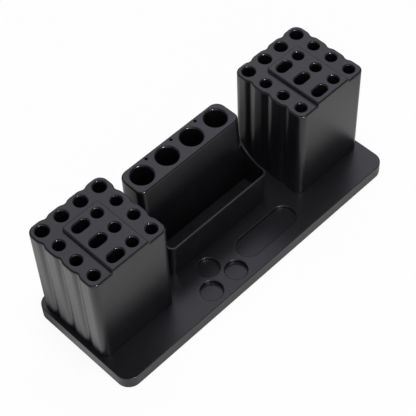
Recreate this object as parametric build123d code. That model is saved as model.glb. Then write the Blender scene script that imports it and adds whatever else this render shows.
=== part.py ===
from build123d import *
import os
from math import radians, tan

# Desk rack for small hand tools: two fluted tool towers and a caddy with a front tray, all of which
# lift off a base plate on rubber feet. Millimetres, +X right, +Y back, +Z up. The origin lies on the
# desk under the middle of the plate.

# Base plate
plate_height = 12.2
plate_corner = 11.0
plate_round = 0.6
plate_edge_chamfer = 0.5
plate_wall = 2.4
plate_skin = 2.6
side_margin = 3.55
back_margin = 4.2
apron_depth = 27.6
rib_width = 1.8
rib_lift = 1.0
cross_ribs = 6
long_ribs = 2

# Wells in the front of the plate
well_diameter = 18.6
well_depth = 4.0
well_pair_spacing = 27.1
well_row_spacing = 17.3
well_group_x = -31.3
well_line_inset = 22.4
long_well_length = 61.6
long_well_width = 21.0
long_well_depth = 3.8
long_well_x = 26.0
well_draft = 3.0
well_rim_round = 0.7
well_floor_thickness = 2.0
well_wall = 2.0

# Rubber feet
foot_diameter = 14.0
foot_drop = 0.8
foot_seat_depth = 1.9
foot_fit = 0.2
foot_inset = 15.5
foot_chamfer = 0.5
foot_post_wall = 2.5

# Tool towers
columns = 4
rows = 4
pitch = 18.5
tower_height = 93.5
edge_reach = 8.85
tower_back_corner = 7.5
tower_front_corner = 6.2
groove_depth = 1.5
groove_radius = 4.0
groove_shoulder = 9.0
tower_round = 1.45
foot_edge_chamfer = 0.6
small_bore = 8.7
large_bore = 10.2
slot_length = 13.9
slot_width = 8.1
slot_shift = 2.5
slot_column = 1
bore_floor = 5.0
rim_round = 1.3
island_width = 35.5
island_back = 18.2
island_height = 2.8
island_root = 3.0
island_corner = 2.5
island_round = 1.3

# Caddy: a block of four wide bores with a tray in front of it
caddy_length = 107.0
caddy_height = 79.0
caddy_depth = 54.2
caddy_gap_left = 13.25
caddy_gap_right = 20.65
caddy_back_inset = 6.05
block_depth = 26.65
block_back_corner = 8.3
block_front_corner = 6.3
block_round = 1.4
wide_bore = 18.0
wide_bores = 4
wide_bore_pitch = 26.2
wide_bore_inset = 12.8
wide_rim_round = 1.5
pin_diameter = 2.6
pin_depth = 12.0
pin_inset = 3.5
tray_rim_height = 36.2
tray_floor = 8.4
tray_wall = 1.6
tray_lean = 3.6
tray_corner = 5.5
cheek_drop = 3.5
cheek_start = 0.6
cheek_end_inset = 2.6

# Foot plates that close the modules, their spigots and their screws
foot_plate_seat = 3.0
foot_plate_fit = 0.2
foot_plate_corner = 6.0
tower_plate_inset = 5.2
caddy_plate_inset = 7.0
spigot_height = 3.0
spigot_chamfer = 0.6
socket_clearance = 0.3
socket_floor = 2.2
socket_wall = 2.2
screw_diameter = 3.0
screw_length = 8.0
screw_fit = 0.1
screw_hole = 3.4
screw_head_diameter = 5.6
screw_head_height = 2.0
screw_head_chamfer = 0.7
screw_head_sink = 2.6
screw_head_clearance = 0.4
screw_slot_width = 0.9
screw_slot_length = 3.4
screw_slot_depth = 1.0
caddy_screw_inset = 14.0

# Every cut runs past the faces that it opens by the overrun, and faces this near count as level
overrun = 1.0
nearness = 0.01

# Sizes and places that follow from those above
half_span = (columns - 1) * pitch / 2
tower_half = half_span + edge_reach
tower_width = 2 * tower_half
lean = tan(radians(tray_lean))
module_row = caddy_gap_left + caddy_length + caddy_gap_right
plate_length = 2 * (side_margin + tower_width) + module_row
plate_depth = apron_depth + tower_width + back_margin
deck = foot_drop + plate_height
tower_x = plate_length / 2 - side_margin - tower_half
tower_y = plate_depth / 2 - back_margin - tower_half
caddy_x = -tower_x + tower_half + caddy_gap_left + caddy_length / 2
caddy_y = plate_depth / 2 - caddy_back_inset
tower_plate_size = 2 * (tower_half - groove_depth - tower_plate_inset)
caddy_plate_width = caddy_length - 2 * caddy_plate_inset
caddy_plate_depth = caddy_depth - 2 * caddy_plate_inset
socket_depth = spigot_height + socket_clearance
well_line = -plate_depth / 2 + well_line_inset

upright = (Align.CENTER, Align.CENTER, Align.MIN)
tower_screws = [(x, y) for x in (-pitch, pitch) for y in (-pitch, pitch)]
caddy_screws = [
    (x, y)
    for x in (-wide_bore_pitch, wide_bore_pitch)
    for y in (-wide_bore_inset, caddy_screw_inset - caddy_depth)
]


def column_x(column):
    """Place of a column of tower holes, from the middle of the tower."""
    return column * pitch - half_span


def row_y(row):
    """Place of a row of tower holes, from the middle of the tower; row 0 is the back one."""
    return half_span - row * pitch


def section(width, back, front, back_corner, front_corner):
    """Flat plan with its own corner radius at the back and at the front; a radius of zero leaves it sharp."""
    plan = Pos(0, (back + front) / 2) * Rectangle(width, back - front)
    for end, corner in ((-1, back_corner), (0, front_corner)):
        if corner:
            plan = fillet(plan.vertices().group_by(Axis.Y)[end], corner)
    return plan


def rim_edges(solid, level):
    """Edges of every hole that opens into the flat faces at this height."""
    flats = solid.faces().filter_by(Axis.Z).filter_by_position(Axis.Z, level - nearness, level + nearness)
    return [edge for face in flats for wire in face.inner_wires() for edge in wire.edges()]


def tower_outline():
    """Fluted plan: three soft grooves between the holes on each of three sides, and a plain front."""
    plan = section(tower_width, tower_half, -tower_half, tower_back_corner, tower_front_corner)
    out = tower_half - groove_depth + groove_radius
    middles = [column_x(column) + pitch / 2 for column in range(columns - 1)]
    places = [(along, out) for along in middles]
    places += [(side * out, along) for side in (-1, 1) for along in middles]
    for x, y in places:
        plan -= Pos(x, y) * Circle(groove_radius)
    shoulders = [v for v in plan.vertices() if min(abs(v.X), abs(v.Y)) < half_span]
    return fillet(shoulders, groove_shoulder)


def tower_hole(row, column):
    """Plan of one tool hole, in place: wide at the back, a slot in one column, small elsewhere."""
    place = Pos(column_x(column), row_y(row))
    if row == 0:
        return place * Circle(large_bore / 2)
    if column == slot_column:
        return place * Pos(slot_shift) * SlotOverall(slot_length, slot_width)
    return place * Circle(small_bore / 2)


def island():
    """Raised middle of a tower's top, flush with the front face and rounded at its back corners."""
    depth = island_back + tower_half
    plan = Pos(0, island_back - depth / 2) * Rectangle(island_width, depth)
    plan = fillet(plan.vertices().group_by(Axis.Y)[-1], island_corner)
    block = Pos(0, 0, tower_height - island_root) * extrude(plan, island_root + island_height)
    return fillet(block.edges().group_by(Axis.Z)[-1], island_round)


def foot_plate_plan(width, depth, growth=0):
    """Rounded plan shared by a foot plate, the seat that takes it and the socket below it."""
    return RectangleRounded(width + 2 * growth, depth + 2 * growth, foot_plate_corner + growth)


def foot_plate(width, depth, middle, screws):
    """Plate that closes a module from below; its lower half is a spigot for the base plate's socket."""
    plan = Pos(0, middle, -spigot_height) * foot_plate_plan(width, depth)
    plate = extrude(plan, spigot_height + foot_plate_seat)
    plate = chamfer(plate.edges().group_by(Axis.Z)[0], spigot_chamfer)
    head_hole = screw_head_diameter / 2 + screw_head_clearance
    for x, y in screws:
        at = Pos(x, y, -spigot_height)
        plate -= at * Cylinder(screw_hole / 2, spigot_height + foot_plate_seat, align=upright)
        plate -= at * Cylinder(head_hole, screw_head_sink, align=upright)
    return plate


def seat_and_pilots(width, depth, middle, screws):
    """Cut in a module's underside: the foot plate's seat and the screw holes above it."""
    cut = extrude(Pos(0, middle) * foot_plate_plan(width, depth, foot_plate_fit), foot_plate_seat)
    pilot_top = screw_head_sink - spigot_height + screw_length + screw_fit
    for x, y in screws:
        cut += Pos(x, y) * Cylinder((screw_diameter + screw_fit) / 2, pilot_top, align=upright)
    return cut


def screw():
    """Pan head screw pointing up, with its seat under the head at zero and a cross recess."""
    crown = Pos(0, 0, -screw_head_height)
    head = crown * Cylinder(screw_head_diameter / 2, screw_head_height, align=upright)
    head = chamfer(head.edges().group_by(Axis.Z)[0], screw_head_chamfer)
    recess = Box(screw_slot_length, screw_slot_width, screw_slot_depth, align=upright)
    recess += Box(screw_slot_width, screw_slot_length, screw_slot_depth, align=upright)
    shank = Cylinder(screw_diameter / 2, screw_length, align=upright)
    return head + shank - crown * recess


def screw_set(screws):
    """The screws of one foot plate, as separate solids."""
    seat = screw_head_sink - spigot_height
    return [Pos(x, y, seat) * screw() for x, y in screws]


def tower_body():
    """Fluted tower with its raised island, blind tool holes and a seat for its foot plate."""
    body = extrude(tower_outline(), tower_height)
    body = fillet(body.edges().group_by(Axis.Z)[-1], tower_round)
    body = chamfer(body.edges().group_by(Axis.Z)[0], foot_edge_chamfer)
    body += island()
    hole_height = tower_height + island_height + overrun - bore_floor
    for row in range(rows):
        for column in range(columns):
            body -= extrude(Pos(0, 0, bore_floor) * tower_hole(row, column), hole_height)
    rims = rim_edges(body, tower_height) + rim_edges(body, tower_height + island_height)
    body = fillet(rims, rim_round)
    return body - seat_and_pilots(tower_plate_size, tower_plate_size, 0, tower_screws)


def caddy_block():
    """Bored block at the back of the caddy; its front face leans forward towards the tray floor."""
    corners = (block_back_corner, block_front_corner)
    low = section(caddy_length, 0, -block_depth - caddy_height * lean, *corners)
    high = section(caddy_length, 0, -block_depth, *corners)
    block = loft([low, Pos(0, 0, caddy_height) * high], ruled=True)
    return fillet(block.edges().group_by(Axis.Z)[-1], block_round)


def tray_shell():
    """Tray and its two cheeks, whose top edges sweep from the block down to the front rim."""
    low = section(caddy_length, 0, -caddy_depth, block_back_corner, tray_corner)
    high = section(caddy_length, 0, -caddy_depth - caddy_height * lean, block_back_corner, tray_corner)
    shell = loft([low, Pos(0, 0, caddy_height) * high], ruled=True)
    inner_width = caddy_length - 2 * tray_wall
    inner_corner = tray_corner - tray_wall
    inner = []
    for level in (tray_floor, caddy_height):
        back = -block_depth - (caddy_height - level) * lean
        front = tray_wall - caddy_depth - level * lean
        inner.append(Pos(0, 0, level) * section(inner_width, back, front, 0, inner_corner))
    shell -= loft(inner, ruled=True)
    return shell - above_cheeks()


def above_cheeks():
    """Space above the tray: over its rim, over a quarter ellipse at each cheek and over the roots."""
    top = caddy_height - cheek_drop
    start = block_front_corner + cheek_start - block_depth
    end = cheek_end_inset - caddy_depth
    front = -caddy_depth - caddy_height * lean - overrun
    ceiling = caddy_height + overrun
    sweep = EllipticalCenterArc((end, top), start - end, top - tray_rim_height, 270, arc_size=90)
    border = Polyline(
        (start, top),
        (overrun, top),
        (overrun, ceiling),
        (front, ceiling),
        (front, tray_rim_height),
        (end, tray_rim_height),
    )
    profile = make_face([sweep, border])
    return extrude(Plane.YZ * profile, caddy_length / 2 + overrun, both=True)


def caddy_body():
    """Caddy: the tray shell joined to the block, with wide bores, pin holes and a foot plate seat."""
    body = tray_shell() + caddy_block()
    bore_height = caddy_height + overrun - bore_floor
    for bore in range(wide_bores):
        x = (bore - (wide_bores - 1) / 2) * wide_bore_pitch
        body -= Pos(x, -wide_bore_inset, bore_floor) * Cylinder(wide_bore / 2, bore_height, align=upright)
    body = fillet(rim_edges(body, caddy_height), wide_rim_round)
    for pin in range(wide_bores - 1):
        x = (pin + 1 - wide_bores / 2) * wide_bore_pitch
        at = Pos(x, -pin_inset, caddy_height - pin_depth)
        body -= at * Cylinder(pin_diameter / 2, pin_depth + overrun, align=upright)
    return body - seat_and_pilots(caddy_plate_width, caddy_plate_depth, -caddy_depth / 2, caddy_screws)


def foot_places():
    """Names and places of the four rubber feet."""
    x = plate_length / 2 - foot_inset
    y = plate_depth / 2 - foot_inset
    for depth_name, foot_y in (("front", -y), ("rear", y)):
        for side_name, foot_x in (("left", -x), ("right", x)):
            yield f"foot_{depth_name}_{side_name}", foot_x, foot_y


def foot():
    """Rubber disc foot, with its lower edge broken."""
    disc = Cylinder(foot_diameter / 2, foot_drop + foot_seat_depth, align=upright)
    return chamfer(disc.edges().group_by(Axis.Z)[0], foot_chamfer)


def sockets():
    """Plans of the three sockets in the deck, with their middles."""
    tower_plan = (tower_plate_size, tower_plate_size)
    return [
        (-tower_x, tower_y, *tower_plan),
        (tower_x, tower_y, *tower_plan),
        (caddy_x, caddy_y - caddy_depth / 2, caddy_plate_width, caddy_plate_depth),
    ]


def wells():
    """Plans of the wells at deck height, each with its depth."""
    rear = well_line + well_row_spacing / 2
    front = well_line - well_row_spacing / 2
    ring = Circle(well_diameter / 2)
    places = [
        (well_group_x, rear),
        (well_group_x - well_pair_spacing / 2, front),
        (well_group_x + well_pair_spacing / 2, front),
    ]
    found = [(Pos(x, y) * ring, well_depth) for x, y in places]
    long_well = Pos(long_well_x, well_line) * SlotOverall(long_well_length, long_well_width)
    return found + [(long_well, long_well_depth)]


def rib_lattice():
    """Ribs under the deck, evenly spaced both ways."""
    level = foot_drop + rib_lift
    height = plate_height - rib_lift
    cross_rib = Box(rib_width, plate_depth - plate_wall, height, align=upright)
    long_rib = Box(plate_length - plate_wall, rib_width, height, align=upright)
    lattice = []
    for rib in range(cross_ribs):
        x = ((rib + 1) / (cross_ribs + 1) - 1 / 2) * plate_length
        lattice.append(Pos(x, 0, level) * cross_rib)
    for rib in range(long_ribs):
        y = ((rib + 1) / (long_ribs + 1) - 1 / 2) * plate_depth
        lattice.append(Pos(0, y, level) * long_rib)
    return lattice


def base_plate():
    """Moulded plate, ribbed below, with sockets for the modules, wells in front and seats for the feet."""
    at_floor = Pos(0, 0, foot_drop)
    outside = RectangleRounded(plate_length, plate_depth, plate_corner)
    inside = offset(outside, -plate_wall)
    plate = extrude(at_floor * outside, plate_height)
    plate = fillet(plate.edges().group_by(Axis.Z)[-1], plate_round)
    plate = chamfer(plate.edges().group_by(Axis.Z)[0], plate_edge_chamfer)
    plate -= extrude(at_floor * inside, plate_height - plate_skin)

    filling = rib_lattice()
    for x, y, width, depth in sockets():
        plan = foot_plate_plan(width, depth, socket_clearance + socket_wall)
        filling.append(extrude(Pos(x, y, deck) * plan, -socket_depth - socket_floor))
    for plan, depth in wells():
        filling.append(extrude(Pos(0, 0, deck) * offset(plan, well_wall), -depth - well_floor_thickness))
    for _, x, y in foot_places():
        post = foot_diameter / 2 + foot_fit + foot_post_wall
        filling.append(Pos(x, y, foot_drop) * Cylinder(post, plate_height, align=upright))
    room = extrude(at_floor * inside, plate_height - plate_skin / 2)
    plate += [piece & room for piece in filling]

    for plan, depth in wells():
        plate -= extrude(Pos(0, 0, deck) * plan, -depth, taper=well_draft)
    plate = fillet(rim_edges(plate, deck), well_rim_round)
    for x, y, width, depth in sockets():
        plate -= extrude(Pos(x, y, deck) * foot_plate_plan(width, depth, socket_clearance), -socket_depth)
    for _, x, y in foot_places():
        plate -= Pos(x, y, foot_drop) * Cylinder(foot_diameter / 2 + foot_fit, foot_seat_depth, align=upright)
    return plate


def save(shape, name):
    """Write one node: a solid, or a list of separate solids."""
    whole = Compound(children=shape) if isinstance(shape, list) else shape
    export_step(whole, f"parts/{name}.step")


os.makedirs("parts", exist_ok=True)

save(base_plate(), "base_plate")
for name, x, y in foot_places():
    save(Pos(x, y) * foot(), name)

tower = {
    "body": [tower_body()],
    "foot_plate": [foot_plate(tower_plate_size, tower_plate_size, 0, tower_screws)],
    "screws": screw_set(tower_screws),
}
caddy = {
    "body": [caddy_body()],
    "foot_plate": [foot_plate(caddy_plate_width, caddy_plate_depth, -caddy_depth / 2, caddy_screws)],
    "screws": screw_set(caddy_screws),
}
modules = [
    ("left_tower", tower, Pos(-tower_x, tower_y, deck)),
    ("right_tower", tower, Pos(tower_x, tower_y, deck)),
    ("caddy", caddy, Pos(caddy_x, caddy_y, deck)),
]
for module_name, pieces, place in modules:
    for piece_name, solids in pieces.items():
        placed = [place * solid for solid in solids]
        save(placed if len(placed) > 1 else placed[0], f"{module_name}_{piece_name}")
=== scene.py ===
from math import cos, radians, sin

import bpy
from mathutils import Matrix, Vector


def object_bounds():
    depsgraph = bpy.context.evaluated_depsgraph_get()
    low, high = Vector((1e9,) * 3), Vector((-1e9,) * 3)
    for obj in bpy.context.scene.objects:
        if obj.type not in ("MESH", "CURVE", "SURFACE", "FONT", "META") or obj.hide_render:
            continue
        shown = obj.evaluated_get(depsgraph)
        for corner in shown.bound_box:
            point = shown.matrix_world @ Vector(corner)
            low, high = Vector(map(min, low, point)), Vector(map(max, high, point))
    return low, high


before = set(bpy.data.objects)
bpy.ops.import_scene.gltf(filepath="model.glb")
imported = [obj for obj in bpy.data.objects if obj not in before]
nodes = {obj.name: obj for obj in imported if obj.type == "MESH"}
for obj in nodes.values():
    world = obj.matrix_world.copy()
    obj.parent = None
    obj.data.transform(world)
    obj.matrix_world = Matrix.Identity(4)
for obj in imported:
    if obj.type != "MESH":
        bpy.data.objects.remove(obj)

cad_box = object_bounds()
half_length, half_depth = cad_box[1][0], cad_box[1][1]

# The camera's place, from the photograph's perspective: metres, degrees, and millimetres for the lens
view_point = Vector((-0.0096, -0.0013, 0.051))
view_distance = 0.9807
view_azimuth = -42.80
view_elevation = 52.66
view_roll = -2.99
lens_mm = 109.26
sensor_mm = 36.0
far_clip = 100.0

# Noise: its middle, and the two values that most of it lies between
noise_middle = 0.5
noise_spread = (0.3, 0.7)

# Moulded plastic: lengths in metres, colours as linear light, slopes as the upward part of the unit normal
plastic_ior = 1.55
black_dark = (0.0062, 0.0062, 0.0072)
black_light = (0.0096, 0.0096, 0.0110)
textured_roughness = 0.32
textured_relief = 0.5
underside_dark = (0.0050, 0.0050, 0.0052)
underside_light = (0.0080, 0.0080, 0.0083)
underside_roughness = 0.26
underside_relief = 0.2
worn_colour = (0.020, 0.020, 0.021)
dust_colour = (0.060, 0.060, 0.062)
dust_share = 0.10
dust_specks = (0.56, 0.74)
dust_slope = (0.6, 1.0)
grain_size = 0.0009
grain_detail = 2.0
grain_depth = 0.00006
grain_in_roughness = 0.06
drift_size = 0.05
drift_detail = 3.0
drift_in_roughness = 0.06
speck_size = 0.0011
speck_detail = 1.0

# Edges and hole rims: radius of an edge, cosines of its turn, slopes of the rims and their heights in metres
edge_width = 0.0005
edge_samples = 8
edge_turn = (0.80, 0.995)
edge_roughness = 0.42
rim_steepest = (0.25, 0.45)
rim_flattest = (0.93, 0.99)
rim_heights = (0.065, 0.080)
rim_roughness = 0.20

# Rubber feet
rubber_dark = (0.012, 0.012, 0.012)
rubber_light = (0.024, 0.024, 0.023)
rubber_roughness = 0.70
pebble_size = 0.0009
pebble_detail = 3.0
pebble_spread = (0.35, 0.65)
pebble_relief = 0.5
pebble_depth = 0.0001
pebble_in_roughness = 0.25

# Plated screws
steel_dark = (0.46, 0.46, 0.47)
steel_light = (0.62, 0.62, 0.61)
steel_roughness = 0.22
cloud_size = 0.0016
cloud_detail = 3.0
cloud_in_roughness = 0.2
scratch_size = 0.00025
scratch_detail = 4.0
scratch_relief = 0.2
scratch_depth = 0.00003

# Room and lamps: degrees, cosines for the soft boxes, upward parts of directions for heights, watts, metres
white = (1.0, 1.0, 1.0)
light_colour = (0.93, 0.91, 1.03)
lamp_colour = (0.96, 0.95, 1.0)
rear_box = {"azimuth": 137.2, "elevation": 50.0, "core": 0.95, "edge": 0.87, "level": 1.17}
rear_box_top = (0.905, 0.955)
front_box = {"azimuth": -43.0, "elevation": 24.0, "core": 0.95, "edge": 0.82, "level": 0.9}
wall_level = 0.09
horizon_level = 0.50
horizon_heights = (0.10, 0.55)
horizon_gap = (0.35, 0.85)
rim_lamp = {"azimuth": -12.0, "elevation": 40.0, "size": 0.12, "power": 16.0}
overhead_lamp = {"azimuth": 0.0, "elevation": 88.0, "size": 0.5, "power": 20.0}
lamp_distance = 1.6

# Floor: metres, and levels of the painted light and shadow that reflections see on it
floor_colour = (0.9, 0.9, 0.9)
floor_glow = 0.92
floor_span = 12.0
pool_fade = (0.05, 0.13)
pool_rest = 0.20
# Painted shadow of the rack in the pool: its levels in front, along the plate and behind, and their widths
pool_front = 0.75
plate_shadow_level = 0.70
plate_shadow_width = 0.014
pool_back = 0.22
back_near = 0.02
back_far = 0.07
far_fade = (0.13, 0.30)
far_level = 0.45


class Value:
    """A number, colour or vector that varies over a surface: one output of a node. Operators add Math nodes."""

    def __init__(self, finish, node, output=0):
        self.finish = finish
        self.node = node
        self.socket = node.outputs[output]

    def output(self, name):
        """Another output of the same node."""
        return Value(self.finish, self.node, name)

    def maths(self, operation, *others):
        """This value and others through one Math node."""
        sockets = dict(enumerate((self,) + others))
        return self.finish.node("ShaderNodeMath", {"operation": operation}, sockets)

    def __add__(self, other):
        return self.maths("ADD", other)

    def __sub__(self, other):
        return self.maths("SUBTRACT", other)

    def __mul__(self, other):
        return self.maths("MULTIPLY", other)

    def __rsub__(self, other):
        return self * -1 + other

    __radd__ = __add__

    def dot(self, other):
        """Dot product of two vectors."""
        settings = {"operation": "DOT_PRODUCT"}
        return self.finish.node("ShaderNodeVectorMath", settings, {0: self, 1: other}, "Value")

    def part(self, axis):
        """One component of a vector."""
        return self.finish.node("ShaderNodeSeparateXYZ", sockets={"Vector": self}, output=axis)

    def smooth(self, low, high):
        """0 below low and 1 above high, with a soft step between them."""
        settings = {"interpolation_type": "SMOOTHSTEP"}
        sockets = {"Value": self, "From Min": low, "From Max": high}
        return self.finish.node("ShaderNodeMapRange", settings, sockets)


class Finish:
    """One material or world and its nodes."""

    def __init__(self, owner):
        owner.use_nodes = True
        self.owner = owner
        self.tree = owner.node_tree
        self.tree.nodes.clear()

    def node(self, kind, settings=None, sockets=None, output=0):
        """Add a node of this kind, set it up, feed its sockets with values or links, and give one output."""
        made = self.tree.nodes.new(kind)
        for name, setting in (settings or {}).items():
            setattr(made, name, setting)
        for name, fed in (sockets or {}).items():
            if isinstance(fed, Value):
                self.tree.links.new(fed.socket, made.inputs[name])
            else:
                made.inputs[name].default_value = fed
        return Value(self, made, output) if made.outputs else None

    def place(self):
        """Object coordinates: metres in the shared frame."""
        return self.node("ShaderNodeTexCoord", output="Object")

    def mix(self, share, first, second):
        """Blend two colours. The Mix node repeats its socket names, so its colour sockets go by number."""
        factor, colour_a, colour_b, colour_out = 0, 6, 7, 2
        sockets = {factor: share, colour_a: first, colour_b: second}
        return self.node("ShaderNodeMix", {"data_type": "RGBA"}, sockets, colour_out)

    def noise(self, size, detail, place):
        """Noise whose lumps are about this size in metres."""
        sockets = {"Vector": place, "Scale": 1 / size, "Detail": detail}
        return self.node("ShaderNodeTexNoise", sockets=sockets)

    def bump(self, height, strength, depth, **more):
        """Normal of a surface whose relief follows this height."""
        sockets = {"Height": height, "Strength": strength, "Distance": depth, **more}
        return self.node("ShaderNodeBump", sockets=sockets)

    def surface(self, **sockets):
        """Finish the material with one Principled shader."""
        named = {name.replace("_", " "): fed for name, fed in sockets.items()}
        shader = self.node("ShaderNodeBsdfPrincipled", sockets=named)
        self.node("ShaderNodeOutputMaterial", sockets={"Surface": shader})
        return self.owner


def solid(colour):
    """A colour as a socket takes it."""
    return (*colour, 1.0)


def moulded_plastic(name, dark, light, roughness, relief):
    """Black moulded plastic with a fine grain, slow drifts of shade and gloss and a trace of dust.

    Edges are softened and a little paler: an edge is where the rounded normal leaves the true one. The
    turned-over rims of the tool holes, high up and neither flat nor upright, are smooth and shinier."""
    finish = Finish(bpy.data.materials.new(name))
    place = finish.place()
    grain = finish.noise(grain_size, grain_detail, place)
    drift = finish.noise(drift_size, drift_detail, place)
    speck = finish.noise(speck_size, speck_detail, place)
    facing = finish.node("ShaderNodeNewGeometry", output="Normal")
    upward = facing.part("Z")
    rounded = finish.node("ShaderNodeBevel", {"samples": edge_samples}, {"Radius": edge_width})
    edge = 1 - rounded.dot(facing).smooth(*edge_turn)
    turned = upward.smooth(*rim_steepest) * (1 - upward.smooth(*rim_flattest))
    rim = turned * place.part("Z").smooth(*rim_heights)
    plain = (1 - edge) * (1 - rim)
    dust = speck.smooth(*dust_specks) * upward.smooth(*dust_slope) * plain * dust_share
    body = finish.mix(drift.smooth(*noise_spread), solid(dark), solid(light))
    handled = finish.mix(edge * drift, body, solid(worn_colour))
    colour = finish.mix(dust, handled, solid(dust_colour))
    drifted = roughness + (drift - noise_middle) * drift_in_roughness
    matt = drifted + (grain - noise_middle) * grain_in_roughness
    softened = matt * (1 - edge) + edge * edge_roughness
    rough = softened * (1 - rim) + rim * rim_roughness
    normal = finish.bump(grain * plain, relief, grain_depth, Normal=rounded)
    return finish.surface(Base_Color=colour, Roughness=rough, Normal=normal, IOR=plastic_ior)


def foot_rubber():
    """Dull rubber with a pebbled skin."""
    finish = Finish(bpy.data.materials.new("foot_rubber"))
    pebble = finish.noise(pebble_size, pebble_detail, finish.place())
    colour = finish.mix(pebble.smooth(*pebble_spread), solid(rubber_dark), solid(rubber_light))
    normal = finish.bump(pebble, pebble_relief, pebble_depth)
    rough = rubber_roughness + pebble * pebble_in_roughness
    return finish.surface(Base_Color=colour, Roughness=rough, Normal=normal)


def plated_steel():
    """Bright plated steel with cloudy patches and fine scratches."""
    finish = Finish(bpy.data.materials.new("plated_steel"))
    place = finish.place()
    cloud = finish.noise(cloud_size, cloud_detail, place)
    scratch = finish.noise(scratch_size, scratch_detail, place)
    colour = finish.mix(cloud.smooth(*noise_spread), solid(steel_dark), solid(steel_light))
    normal = finish.bump(scratch, scratch_relief, scratch_depth)
    rough = steel_roughness + cloud * cloud_in_roughness
    return finish.surface(Base_Color=colour, Roughness=rough, Normal=normal, Metallic=1.0)


def direction(azimuth, elevation):
    """Unit vector from the object towards this azimuth and elevation; azimuth 0 is the front."""
    turn, rise = radians(azimuth), radians(elevation)
    return Vector((sin(turn) * cos(rise), -cos(turn) * cos(rise), sin(rise)))


def soft_box(towards, azimuth, elevation, core, edge, level):
    """Light of a round soft box in the world: even within its core and gone at its edge, both as cosines."""
    return towards.dot(direction(azimuth, elevation)).smooth(edge, core) * level


def studio_world():
    """White to the camera. As light it is a dim room with a pale horizon and two soft boxes.

    The rear box, which the flat tops mirror, has a level top edge, so that the hole rims turn dark beyond it.
    The horizon has a gap on the rear box's side."""
    finish = Finish(bpy.data.worlds.new("studio"))
    towards = finish.node("ShaderNodeTexCoord", output="Generated")
    height = towards.part("Z")
    beside = 1 - towards.dot(direction(rear_box["azimuth"], 0.0)).smooth(*horizon_gap)
    walls = wall_level + (1 - height.smooth(*horizon_heights)) * beside * horizon_level
    below_top = 1 - height.smooth(*rear_box_top)
    level = walls + soft_box(towards, **rear_box) * below_top + soft_box(towards, **front_box)
    seen = finish.node("ShaderNodeLightPath", output="Is Camera Ray")
    colour = finish.mix(seen, solid(light_colour), solid(white))
    strength = level * (1 - seen) + seen
    light = finish.node("ShaderNodeBackground", sockets={"Color": colour, "Strength": strength})
    finish.node("ShaderNodeOutputWorld", sockets={"Surface": light})
    bpy.context.scene.world = finish.owner


def beyond(place, axis, half):
    """How far a floor point lies outside the plate along one axis."""
    return (place.part(axis).maths("ABSOLUTE") - half).maths("MAXIMUM", 0.0)


def pool_of_light(place):
    """Painted light that reflections see on the floor: a painted pool round the rack, and a paler floor far
    off.

    The pool carries painted shadow of the rack: a little dimmer in front and in a band along the plate, and
    shaded in a strip behind it."""
    aside = beyond(place, "X", half_length)
    ahead = beyond(place, "Y", half_depth)
    distance = (aside * aside + ahead * ahead).maths("SQRT")
    fading = 1 - distance.smooth(*pool_fade) * (1 - pool_rest)
    before = 1 - place.part("Y").smooth(-half_depth, 0.0)
    behind = place.part("Y").smooth(0.0, half_depth) * (1 - aside.smooth(0.0, back_near))
    shaded = behind * (1 - ahead.smooth(back_near, back_far))
    plate_shadow = 1 - distance.smooth(0.0, plate_shadow_width)
    # painted shadow of the rack: dimmer in front, in a band along the plate and in a strip behind
    lit = (1 - before * (1 - pool_front)) * (1 - shaded * (1 - pool_back)) * (1 - plate_shadow * (1 - plate_shadow_level))
    return fading * lit + distance.smooth(*far_fade) * far_level


def floor_finish():
    """Pale paint, white to the camera with a trace of shadow, and a painted pool of light and shadow that
    reflections see.
    """
    finish = Finish(bpy.data.materials.new("white_floor"))
    pool = pool_of_light(finish.place())
    seen = finish.node("ShaderNodeLightPath", output="Is Camera Ray")
    mirrored = seen.output("Is Glossy Ray").maths("MAXIMUM", seen.output("Is Transmission Ray"))
    # painted light: to reflections the floor glows with the painted pool of light and shadow
    strength = seen.maths("MAXIMUM", mirrored * pool)
    paint = finish.node("ShaderNodeBsdfDiffuse", sockets={"Color": solid(floor_colour)})
    glow = finish.node("ShaderNodeEmission", sockets={"Color": solid(white), "Strength": strength})
    shown = seen.maths("MAXIMUM", mirrored) * floor_glow
    mixed = finish.node("ShaderNodeMixShader", sockets={0: shown, 1: paint, 2: glow})
    finish.node("ShaderNodeOutputMaterial", sockets={"Surface": mixed})
    return finish.owner


def put(name, data):
    """New object with this data, in the scene."""
    made = bpy.data.objects.new(name, data)
    bpy.context.scene.collection.objects.link(made)
    return made


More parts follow.
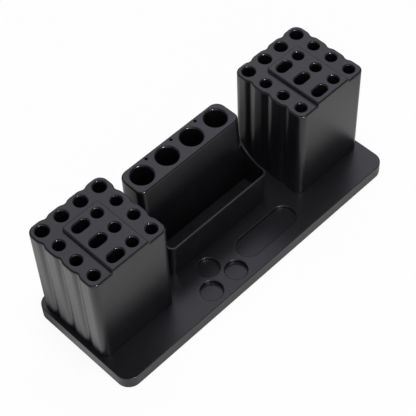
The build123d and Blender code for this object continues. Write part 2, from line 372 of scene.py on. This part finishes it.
def white_floor():
    """One large square of floor under the rack."""
    half = floor_span / 2
    corners = [(-half, -half, 0.0), (half, -half, 0.0), (half, half, 0.0), (-half, half, 0.0)]
    mesh = bpy.data.meshes.new("floor")
    mesh.from_pydata(corners, [], [(0, 1, 2, 3)])
    mesh.materials.append(floor_finish())
    floor = put("floor", mesh)


def looking_from(azimuth, elevation, distance, roll=0.0):
    """Pose of a lamp or camera that faces the view point, rolled about its line of sight."""
    away = direction(azimuth, elevation)
    turn = away.to_track_quat("Z", "Y").to_matrix() @ Matrix.Rotation(radians(roll), 3, "Z")
    return Matrix.Translation(view_point + away * distance) @ turn.to_4x4()


def lamp(name, azimuth, elevation, size, power):
    """Square soft lamp that faces the rack. Gives its object."""
    light = bpy.data.lights.new(name, "AREA")
    light.size = size
    light.energy = power
    light.color = lamp_colour
    holder = put(name, light)
    holder.matrix_world = looking_from(azimuth, elevation, lamp_distance)
    return holder


def photo_camera():
    """Camera at the photograph's viewpoint, with its small tilt about the line of sight."""
    lens = bpy.data.cameras.new("photo_camera")
    lens.lens = lens_mm
    lens.sensor_width = sensor_mm
    lens.clip_end = far_clip
    camera = put("photo_camera", lens)
    camera.matrix_world = looking_from(view_azimuth, view_elevation, view_distance, view_roll)
    bpy.context.scene.camera = camera


# Materials of the pieces
textured_plastic = moulded_plastic(
    "textured_black_plastic", black_dark, black_light, textured_roughness, textured_relief)
plain_plastic = moulded_plastic(
    "plain_black_plastic", underside_dark, underside_light, underside_roughness, underside_relief)
rubber = foot_rubber()
steel = plated_steel()
for name, node in nodes.items():
    if name.startswith("foot_"):
        material = rubber
    elif name.endswith("_screws"):
        material = steel
    elif name.endswith("_foot_plate"):
        material = plain_plastic
    else:
        material = textured_plastic
    node.data.materials.clear()
    node.data.materials.append(material)

# Studio: the rim lamp shows only as glints, and the overhead lamp gives only plain light
studio_world()
white_floor()
lamp("rim_lamp", **rim_lamp).visible_diffuse = False
lamp("overhead_lamp", **overhead_lamp).visible_glossy = False
photo_camera()
bpy.context.scene.view_settings.view_transform = "Standard"
